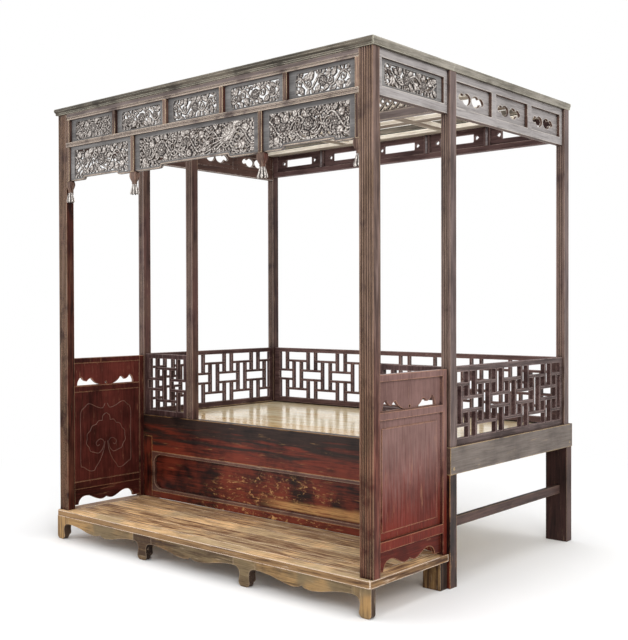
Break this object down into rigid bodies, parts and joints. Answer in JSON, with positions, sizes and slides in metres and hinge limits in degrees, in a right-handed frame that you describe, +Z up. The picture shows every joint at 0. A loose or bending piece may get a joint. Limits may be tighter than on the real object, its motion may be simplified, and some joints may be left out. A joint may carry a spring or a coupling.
{
  "type": "alcove canopy bed",
  "caption": "Chinese canopy bed with a step platform, a standing alcove, key-fret railings and carved friezes under a flat cornice.",
  "frame": {"origin": "on the floor under the middle of the whole bed", "axes": "+Z up, -Y towards the front of the alcove, +X to the right seen from the front"},
  "size_m": [2.152, 1.738, 2.3],
  "materials": {
    "weathered_wood": "weathered grey-brown, matte",
    "dark_wood": "worn dark red-brown lacquer",
    "red_lacquer": "aged red lacquer, satin",
    "golden_wood": "waxed, worn",
    "raw_wood": "bare, pale"
  },
  "bodies": {
    "root": {"bed_post_front_left": "dark_wood", "bed_post_front_right": "dark_wood", "bed_post_rear_left": "dark_wood", "bed_post_rear_right": "dark_wood", "ceiling_ribs": "raw_wood", "cornice_front": "weathered_wood", "cornice_left": "weathered_wood", "cornice_rear": "weathered_wood", "cornice_right": "weathered_wood", "frieze_finials": "weathered_wood", "frieze_hanging_posts": "weathered_wood", "frieze_lower_panels": "weathered_wood", "frieze_middle_rail": "weathered_wood", "frieze_top_rail": "weathered_wood", "frieze_upper_mullions": "weathered_wood", "frieze_upper_panels": "weathered_wood", "front_post_left": "dark_wood", "front_post_right": "dark_wood", "inner_frieze": "weathered_wood", "inner_post_left": "dark_wood", "inner_post_right": "dark_wood", "joint_pegs": "dark_wood", "leg_front_left": "dark_wood", "leg_front_right": "dark_wood", "leg_rear_left": "dark_wood", "leg_rear_right": "dark_wood", "platform_apron": "golden_wood", "platform_end_rail_left": "golden_wood", "platform_end_rail_right": "golden_wood", "platform_feet": "golden_wood", "platform_front_rail": "golden_wood", "platform_planks": "golden_wood", "platform_rear_rail": "golden_wood", "railing_rear": "dark_wood", "railing_short_left": "dark_wood", "railing_short_right": "dark_wood", "railing_side_left": "dark_wood", "railing_side_right": "dark_wood", "rear_frieze": "weathered_wood", "seat_bearers": "raw_wood", "seat_boards": "golden_wood", "seat_front_rail": "red_lacquer", "seat_rear_rail": "dark_wood", "side_frieze_left": "weathered_wood", "side_frieze_right": "weathered_wood", "side_panel_apron_left": "red_lacquer", "side_panel_apron_right": "red_lacquer", "side_panel_board_left": "red_lacquer", "side_panel_board_right": "red_lacquer", "side_panel_frame_left": "red_lacquer", "side_panel_frame_right": "red_lacquer", "side_panel_fret_left": "red_lacquer", "side_panel_fret_right": "red_lacquer", "side_rail_left": "dark_wood", "side_rail_right": "dark_wood", "side_stretchers": "dark_wood", "skirt_bead": "red_lacquer", "skirt_bottom_rail": "red_lacquer", "skirt_panel": "red_lacquer"}
  },
  "joints": []
}
